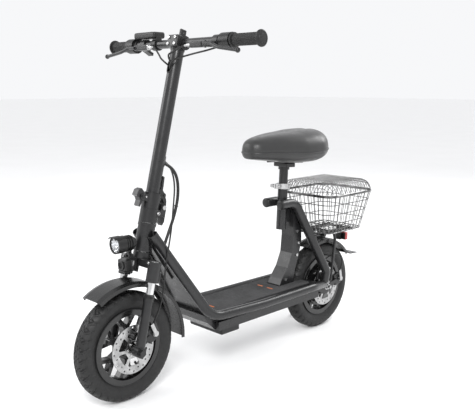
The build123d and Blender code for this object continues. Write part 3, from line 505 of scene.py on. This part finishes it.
def rounded_loop(half_x, half_y, corner, z):
    """A level rounded rectangle about the basket's middle."""
    points = []
    for k, (sx, sy) in enumerate(((1, 1), (-1, 1), (-1, -1), (1, -1))):
        for step in range(9):
            a = math.radians(90 * k + 90 * step / 8)
            points.append(Vector((sx * (half_x - corner) + corner * math.cos(a),
                                  BASKET_Y + sy * (half_y - corner) + corner * math.sin(a), z)))
    return points


def along_loop(points, share):
    """The point at a share of a closed loop's length."""
    lengths = [(points[(i + 1) % len(points)] - p).length for i, p in enumerate(points)]
    target = (share % 1) * sum(lengths)
    for i, length in enumerate(lengths):
        if target <= length:
            return points[i].lerp(points[(i + 1) % len(points)], target / length)
        target -= length
    return points[0]


def basket_loop(z):
    """The basket's outline at a height: it flares from its floor to its rim."""
    t = (z - BASKET_FLOOR) / (BASKET_RIM - BASKET_FLOOR)
    return rounded_loop(94 + 30 * t, 104 + 30 * t, 32 + 10 * t, z)


wires = []
for z, radius in ((367, 1.9), (402, 1.5), (437, 1.5), (472, 1.5), (502.5, 3.0)):
    wires.append(tube([spot(*p) for p in basket_loop(z)], radius, 8, True))
UPRIGHTS = 44
for k in range(UPRIGHTS):
    run = [along_loop(basket_loop(z), k / UPRIGHTS) for z in (502, 478, 454, 430, 406, 382, 370)]
    wires.append(tube([spot(*p) for p in run], 1.25, 6))
for k in range(-4, 5):
    x = k * 20.5
    reach = 103 if abs(k) < 4 else 92
    wires.append(tube([spot(x, BASKET_Y - reach, 366.8), spot(x, BASKET_Y + reach, 366.8)], 1.25, 6))
for k in range(-4, 5):
    y = BASKET_Y + k * 23
    reach = 93 if abs(k) < 4 else 82
    wires.append(tube([spot(-reach, y, 369.2), spot(reach, y, 369.2)], 1.25, 6))
wires.append(tube([spot(-83, LID_Y, LID_Z), spot(83, LID_Y, LID_Z)], 1.5, 10))
for side in (-1, 1):
    lug = [(side * 80, LID_Y + dy, LID_Z + dz) for dy, dz in ((5.5, -16), (3, -8), (0.5, -3), (0, 0))]
    wires.append(tube([spot(*p) for p in lug], 1.6, 8))
piece("basket_wires", *joined(wires), "wire_chrome", "frame", ["basket"])


def lid_height(x, y):
    """The dome's height above a place, from its distance inside the rounded rim."""
    dx = abs(x) - (LID_HALF_WIDTH + 1 - LID_CORNER)
    dy = abs(y - BASKET_Y) - (LID_HALF_LENGTH + 1 - LID_CORNER)
    outside = math.hypot(max(dx, 0), max(dy, 0)) + min(max(dx, dy), 0)
    inset = max(0.0, LID_CORNER - outside)
    return LID_Z + LID_RISE * (1 - math.exp(-inset / LID_SHOULDER))


def lid_reach(offset, half_cross, half_along):
    """How far a wire at an offset from the middle runs before it meets the rim."""
    beyond = abs(offset) - (half_cross - LID_CORNER)
    if beyond <= 0:
        return half_along
    return half_along - LID_CORNER + math.sqrt(max(0.0, LID_CORNER ** 2 - beyond ** 2))


lid_rim = rounded_loop(LID_HALF_WIDTH, LID_HALF_LENGTH, LID_CORNER, LID_Z)
wires = [tube([spot(*p) for p in lid_rim], 2.6, 8, True)]
for k in range(-9, 10):
    x = k * 12.6
    reach = lid_reach(x, LID_HALF_WIDTH, LID_HALF_LENGTH)
    ys = [BASKET_Y - reach + 2 * reach * i / 28 for i in range(29)]
    wires.append(tube([spot(x, y, lid_height(x, y)) for y in ys], 1.05, 6))
for k in range(-10, 11):
    y = BASKET_Y + k * 12.4
    reach = lid_reach(y - BASKET_Y, LID_HALF_LENGTH, LID_HALF_WIDTH)
    xs = [-reach + 2 * reach * i / 28 for i in range(29)]
    wires.append(tube([spot(x, y, lid_height(x, y) + 1.6) for x in xs], 1.05, 6))
for side in (-1, 1):
    coil = []
    for i in range(61):
        a = 2 * math.pi * i / 12
        coil.append(spot(side * (46 + 23 * i / 60), LID_Y + 2.9 * math.sin(a), LID_Z - 2.9 * math.cos(a)))
    wires.append(tube(coil, 1.1, 6))
    wires.append(tube([coil[0], spot(side * 46, LID_Y + 4.5, LID_Z + 0.5)], 1.1, 6))
    wires.append(tube([coil[-1], spot(side * 69, LID_Y + 4.5, LID_Z + 0.5)], 1.1, 6))
piece("lid_wires", *joined(wires), "wire_chrome", "basket_cover", ["basket_lid"])

# Saddle: its half width and the heights of its top and bottom at places along it, (y, millimetres)

HALF_WIDTH = [(60, 5), (62, 17), (67, 28), (85, 44), (130, 63), (190, 92), (250, 111), (310, 115), (355, 100),
              (377, 70), (386, 38), (389, 5)]
TOP = [(60, 674), (62, 690), (68, 702), (85, 712), (130, 721), (190, 727), (240, 730), (300, 735), (350, 736),
       (372, 727), (384, 708), (389, 688)]
BOTTOM = [(60, 668), (62, 656), (67, 649), (90, 645), (150, 637), (220, 628), (300, 625), (345, 631),
          (372, 645), (384, 662), (389, 682)]


def saddle_section(y, count=64):
    half = smooth_table(HALF_WIDTH, y)
    top = smooth_table(TOP, y)
    bottom = smooth_table(BOTTOM, y)
    middle = bottom + 0.36 * (top - bottom)
    points = []
    for k in range(count):
        a = 2 * math.pi * k / count
        c, s = math.cos(a), math.sin(a)
        if s >= 0:
            x = half * math.copysign(abs(c) ** 0.72, c)
            z = middle + (top - middle) * s ** 0.80
            fade = max(0, min(1, (y - 110) / 80)) * max(0, min(1, (380 - y) / 50))
            z -= 3.2 * math.exp(-(x / 13) ** 2) * fade
        else:
            pull = 1 - 0.16 * (-s) ** 1.2
            x = half * pull * math.copysign(abs(c) ** 0.6, c)
            z = middle + (middle - bottom) * math.copysign(abs(s) ** 0.7, s)
        points.append(spot(x, y, z))
    return points


rows = 84
verts = []
for i in range(rows):
    share = (1 - math.cos(math.pi * i / (rows - 1))) / 2
    verts += saddle_section(60 + 329 * share)
faces = grid_faces(rows, 64) + [tuple(range(64))[::-1], tuple(range((rows - 1) * 64, rows * 64))]
cushion = piece("saddle_cushion", verts, faces, "saddle_vinyl", "seat", ["saddle"], 180)


def saddle_line(lift, swell):
    """A closed line round the saddle, a share of its height above the bottom."""
    right, left = [], []
    for i in range(60):
        y = 61 + 327 * (1 - math.cos(math.pi * i / 59)) / 2
        half = smooth_table(HALF_WIDTH, y) + swell
        top, bottom = smooth_table(TOP, y), smooth_table(BOTTOM, y)
        z = bottom + lift * (top - bottom)
        right.append(spot(half, y, z))
        left.append(spot(-half, y, z))
    return right + left[::-1]


piping = saddle_line(0.36, 0.2)
piece("saddle_piping", *tube(piping, 2.0, 8, True), "saddle_vinyl", "seat")
stitch_line = saddle_line(0.44, -0.2)
stitches = []
for i in range(len(stitch_line)):
    a, b = stitch_line[i], stitch_line[(i + 1) % len(stitch_line)]
    parts = max(1, round((b - a).length / 0.007))
    for k in range(parts):
        stitches.append(tube([a.lerp(b, (k + 0.2) / parts), a.lerp(b, (k + 0.8) / parts)], 0.45, 5))
piece("saddle_stitches", *joined(stitches), "seam_thread", "seat")

# Grips: where each one starts and ends along the bar

GRIP_SPANS = [(216, 319), (-237, -319)]
parts = []
for start, end in GRIP_SPANS:
    side = 1 if end > 0 else -1
    rows, columns = 150, 72
    verts = []
    for i in range(rows):
        share = i / (rows - 1)
        x = start + (end - start) * share
        inner, outer = abs(x - start), abs(end - x)
        for k in range(columns):
            a = 2 * math.pi * k / columns
            radius = 15.6
            if inner < 5:
                radius = 20 - 0.25 * max(0, 1.6 - inner) ** 2 - 0.4 * max(0, inner - 3.6) ** 2
            elif outer < 6:
                radius = 22 - 0.6 * max(0, 2.4 - outer) ** 2 - 0.5 * max(0, outer - 4.6) ** 2
            elif 10 < inner and outer > 11:
                cell = (math.sin(12 * a + x * 0.62) * math.sin(12 * a - x * 0.62))
                radius += 0.75 if cell > 0.08 else -0.35
            verts.append(bar(x, radius * math.cos(a), radius * math.sin(a)))
    faces = grid_faces(rows, columns)
    faces = [f if side > 0 else f[::-1] for f in faces]
    parts.append((verts, faces))
    cap = [(-3, 18.5), (-0.4, 18.5), (-0.2, 12), (0.9, 11), (1.2, 3)]
    parts.append(lathe(bar(end, 0, 0), (side, 0, 0), cap, 40))
piece("grip_sleeves", *joined(parts), "grip_rubber", "stem", ["grips"], 30)

# Deck mat

MAT_FRONT = -132
MAT_REAR = 308
MAT_HALF = 73
NOTCH_FRONT = 187
NOTCH_HALF = 33


def mat_end(x, corner=16):
    """How far the mat's rounded corner cuts its ends back at a place across it."""
    beyond = abs(x) - (MAT_HALF - corner)
    return corner - math.sqrt(corner ** 2 - beyond ** 2) if beyond > 0 else 0.0


outline = []
for step in range(9):
    a = math.radians(90 * step / 8)
    outline.append((MAT_HALF - 16 + 16 * math.sin(a), MAT_FRONT + 16 - 16 * math.cos(a)))
for step in range(9):
    a = math.radians(90 * step / 8)
    outline.append((MAT_HALF - 16 + 16 * math.cos(a), MAT_REAR - 16 + 16 * math.sin(a)))
outline += [(NOTCH_HALF, MAT_REAR), (NOTCH_HALF, NOTCH_FRONT)]
outline += [(-x, y) for x, y in reversed(outline)]
count = len(outline)
verts = [spot(x, y, z) for z in (DECK_TOP + 0.1, DECK_TOP + 1.9) for x, y in outline]
faces = [tuple(range(count))[::-1], tuple(range(count, 2 * count))]
faces += [(k, (k + 1) % count, count + (k + 1) % count, count + k) for k in range(count)]
parts = [(verts, faces)]
RIB_PITCH = 5.4
for k in range(-12, 13):
    x = k * RIB_PITCH
    ends = MAT_FRONT + 8 + mat_end(x), (MAT_REAR - 8 if abs(x) > NOTCH_HALF + 4 else NOTCH_FRONT - 7)
    low = spot(x - 1.5, ends[0], DECK_TOP + 1.8)
    high = spot(x + 1.5, ends[1], DECK_TOP + 3.0)
    parts.append(brick(low, high, 0.7))
border = [spot(x * 0.955, (y - 88) * 0.986 + 88, DECK_TOP + 2.2) for x, y in outline]
parts.append(tube(border, 1.3, 8, True))
piece("mat_ribs", *joined(parts), "deck_grip", "frame", ["deck_mat"], 35)
accents = []
for y in (-119, 150):
    for k in (-1, 1):
        low = spot(k * 22 - 12, y - 2.5, DECK_TOP + 1.9)
        high = spot(k * 22 + 12, y + 2.5, DECK_TOP + 3.3)
        accents.append(brick(low, high, 0.6))
piece("mat_accents", *joined(accents), "accent_orange", "frame")

# Lamp, horn and tail light

reflector = []
for k in range(9):
    depth = k / 8
    reflector.append((2 + 20 * depth, 5 + 14.8 * math.sqrt(depth)))
shape = lathe(spot(0, -432, 452), (0, -1, 0), reflector, 48)
shape = (shape[0], [f for f in shape[1] if len(f) == 4] + [tuple(range(48))])
piece("lamp_reflector", *shape, "bright_chrome", "lamp", (), 12)
bulb = [(0, 3.0), (3, 3.0), (5, 2.6), (6.4, 0.8)]
piece("lamp_bulb", *lathe(spot(0, -433, 452), (0, -1, 0), bulb, 24), "clear_lens", "lamp")
slats = []
for k in range(-2, 3):
    half = 10 - abs(k) * 0.6
    z = 392.6 + 3.6 * k
    slats.append(brick(spot(-half, -436.6, z - 0.9), spot(half, -434.6, z + 0.9)))
piece("horn_grille", *joined(slats), "black_plastic", "fork")
ribs = [brick(spot(-25 + 6.2 * k, 582.6, 310), spot(-21.4 + 6.2 * k, 584.4, 332)) for k in range(8)]
piece("tail_lens_ribs", *joined(ribs), "red_lens", "frame")

# Grommets, plugs, seals and screws


def stem_oval(middle, side):
    """The oval rim of a cable slot, laid on the stem's round face."""
    points = []
    for k in range(32):
        a = 2 * math.pi * k / 32
        x = 8.6 * math.cos(a)
        up = middle + 8.6 * math.sin(a) + math.copysign(8, math.sin(a))
        points.append(steer(x, side * math.sqrt(STEM_SURFACE ** 2 - x ** 2), up))
    return points


grommets = [tube(stem_oval(UPPER_SLOT, -1), 1.9, 8, True), tube(stem_oval(LOWER_SLOT, 1), 1.9, 8, True)]
piece("stem_grommets", *joined(grommets), "grip_rubber", "stem")
PLUG_OUTLINE = [(-2, 16.1), (1, 16.1), (3, 14.6), (4.4, 9), (4.8, 2)]
plugs = [lathe(spot(side * 33, 189, 488), (0, -1, 0), PLUG_OUTLINE, 40) for side in (-1, 1)]
piece("loop_end_plugs", *joined(plugs), "black_plastic", "frame")
seals = []
for side in (-1, 1):
    rings = [(0, 15.4), (1.4, 16.4), (3, 15.2), (4.2, 16.2), (5.8, 14.8), (7.2, 15.6), (9, 13.6), (12, 12.1)]
    seals.append(lathe(steer(side * LEG_X, 0, -283), STEER_UP, rings, 40))
piece("fork_seals", *joined(seals), "grip_rubber", "fork_legs")
welds = [tube([steer(19.6 * math.cos(a), 19.6 * math.sin(a), 6.8 + 0.4 * math.sin(9 * a)) for a in
               (2 * math.pi * k / 72 for k in range(72))], 1.5, 8, True)]
piece("stem_weld", *joined(welds), "frame_paint", "stem")
screws = [cap_screw(steer(x, -26, BAR_UP + z), -STEER_BACK, 4.2, 3.6) for x in (-14, 14) for z in (-9, 9)]
screws += [cap_screw(steer(side * 14.8, -31, -8), (side, 0, 0), 2.6, 2) for side in (-1, 1)]
piece("clamp_screws", *joined(screws), "bolt_steel", "stem")
screws = [cap_screw(steer(side * 23.0, 14, -49), (side, 0, 0), 5.2, 4.5) for side in (-1, 1)]
screws += [cap_screw(steer(side * 58, -17, -186), -STEER_BACK, 4.0, 3.4) for side in (-1, 1)]
piece("fork_screws", *joined(screws), "bolt_steel", "fork")
screws = [cap_screw(spot(side * PLATE_OUTSIDE, y, z), (side, 0, 0), 4.6, 3.6) for side in (1, -1)
          for y, z in ((398, 200), (440, 172))]
piece("dropout_screws", *joined(screws), "bolt_steel", "frame")

# Display

piece("display_screen", *brick(bar(-186, -11, 37.0), bar(-112, 17, 38.1), 0.8), "screen_glass", "stem")
marks = [brick(bar(-180 + 7 * k, -7, 38.0), bar(-175.5 + 7 * k, -3.5, 38.3), 0.1) for k in range(5)]
marks.append(brick(bar(-136, -7, 38.0), bar(-122, 12, 38.3), 0.1))
marks.append(brick(bar(-180, 7, 38.0), bar(-148, 9, 38.3), 0.1))
piece("display_marks", *joined(marks), "screen_mark", "stem")

# Cables


def route(points):
    """The points along a smooth NURBS line that has these control points."""
    curve = bpy.data.curves.new("route", "CURVE")
    curve.dimensions = "3D"
    curve.resolution_u = 10
    spline = curve.splines.new("NURBS")
    spline.points.add(len(points) - 1)
    for control, place in zip(spline.points, points):
        control.co = (*place, 1)
    spline.order_u = 3
    spline.use_endpoint_u = True
    carrier = bpy.data.objects.new("route", curve)
    bpy.context.scene.collection.objects.link(carrier)
    bpy.context.view_layer.update()
    mesh = bpy.data.meshes.new_from_object(carrier)
    line = [v.co.copy() for v in mesh.vertices]
    bpy.data.objects.remove(carrier)
    bpy.data.curves.remove(curve)
    bpy.data.meshes.remove(mesh)
    return line


def split_at(line, place):
    """The two parts of a line on either side of its point nearest a place."""
    index = min(range(len(line)), key=lambda i: (line[i] - place).length)
    return line[:index + 1], line[index:]


# Each line's control points, from its lever or switch into the stem, or from the stem down the machine
lever = 150 - 72.6
upper = route([bar(-lever, -40, -9), bar(-58, -44, -14), bar(-34, -48, -34), steer(-12, -42, 378),
               steer(-4.5, -14, 366)])
lower = route([steer(-4.5, 12, 104), steer(-4, 36, 100), steer(-2, 62, 74), steer(4, 74, 34),
               steer(16, 70, -16), steer(40, 56, -64), steer(59, 43, -112), steer(65, 38, -164),
               steer(62, 44, -214), steer(55, 56, -262), steer(49, 60, -308), steer(46, 50.3, -349)])
lower_top, lower_end = split_at(lower, steer(62, 42, -150))
rear_upper = route([bar(lever, -40, -9), bar(58, -46, -12), bar(36, -54, -26), steer(14, -48, 388),
                    steer(4.5, -14, 371)])
wiring = route([bar(174, -14, -16), bar(140, -20, -24), bar(96, -24, -30), bar(54, -24, -36),
                steer(16, -38, 374), steer(1, -14, 356)])
harness = route([steer(3.2, 10, 96), steer(5, 42, 92), steer(8, 74, 64), steer(10, 88, 10),
                 steer(12, 84, -50), steer(13, 71, -106), steer(13, 62, -155)])
harness_top, harness_end = split_at(harness, steer(11, 85, -20))
tail = route([spot(66, 352, 204), spot(52, 376, 232), spot(44, 410, 256), spot(44, 460, 272),
              spot(45, 506, 268), spot(46, 532, 240), spot(46, 518, 208.3)])
ferrules = [tube([line[i], line[i] + (line[j] - line[i]).normalized() * 0.009], 3.4, 12)
            for line, i, j in ((upper, 0, 2), (rear_upper, 0, 2))]
piece("bar_cables", *joined([tube(line, CABLE_RADIUS, 12) for line in (upper, rear_upper, wiring)]),
      "cable_jacket", "stem", ["front_brake_cable"])
piece("cable_ferrules", *joined(ferrules), "silver_alloy", "stem")
piece("rear_brake_cable", *tube(tail, CABLE_RADIUS, 12), "cable_jacket", "frame", ["rear_cables"])
crossing = piece("front_cable_upper", *tube(lower_top, CABLE_RADIUS, 12), "cable_jacket")
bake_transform(crossing)
crossing = piece("front_cable_lower", *tube(lower_end, CABLE_RADIUS, 12), "cable_jacket")
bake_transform(crossing)
crossing = piece("harness_upper", *tube(harness_top, HARNESS_RADIUS, 16), "cable_jacket")
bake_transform(crossing)
crossing = piece("harness_lower", *tube(harness_end, HARNESS_RADIUS, 16), "cable_jacket")
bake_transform(crossing)
clip = tube([steer(62 + 3.4 * math.cos(a), 42 + 3.4 * math.sin(a), -150) for a in
             (2 * math.pi * k / 24 for k in range(24))], 1.3, 8, True)
collar = tube([steer(11 + 5.3 * math.cos(a), 85.5 + 5.3 * math.sin(a), -20) for a in
               (2 * math.pi * k / 24 for k in range(24))], 1.5, 8, True)
piece("cable_bands", *joined([clip, collar]), "black_plastic", "fork")
lamp_wires = []
for offset in (-2, 2):
    line = route([spot(offset, -412, 434), spot(offset * 2, -404, 424), spot(offset * 3, -396, 404),
                  spot(8 + offset, -402, 386), spot(6 + offset, -412, 388)])
    lamp_wires.append(tube(line, 1.2, 8))
wire = piece("lamp_wires", *joined(lamp_wires), "wire_jacket")
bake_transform(wire)

# Floor and light

floor_mesh = bpy.data.meshes.new("floor")
floor_mesh.from_pydata([(-40, -40, 0), (40, -40, 0), (40, 40, 0), (-40, 40, 0)], [], [(0, 1, 2, 3)])
floor = bpy.data.objects.new("floor", floor_mesh)
bpy.context.scene.collection.objects.link(floor)
floor_mesh.materials.append(surface("floor", grey(0.93), grey(0.95), 0.8, mottle=2, grain=60, depth=0.02))


def area_light(name, place, target, size, power):
    """A round soft light that points at a target."""
    light = bpy.data.lights.new(name, "AREA")
    light.shape = "DISK"
    light.size = size
    light.energy = power
    obj = bpy.data.objects.new(name, light)
    obj.location = place
    obj.rotation_euler = (Vector(target) - Vector(place)).to_track_quat("-Z", "Y").to_euler()
    bpy.context.scene.collection.objects.link(obj)


area_light("key", (2.4, -2.6, 3.0), (0, 0, 0.4), 1.4, 120)
area_light("fill", (-2.8, -2.2, 2.2), (0, 0, 0.5), 2.4, 45)
area_light("rim", (0.6, 3.2, 2.6), (0, 0, 0.5), 1.8, 60)
world = bpy.data.worlds.new("world")
bpy.context.scene.world = world
world.use_nodes = True
background = world.node_tree.nodes["Background"]
background.inputs["Color"].default_value = (0.98, 0.985, 1.0, 1)
background.inputs["Strength"].default_value = 0.95
bpy.context.scene.view_settings.view_transform = "Standard"
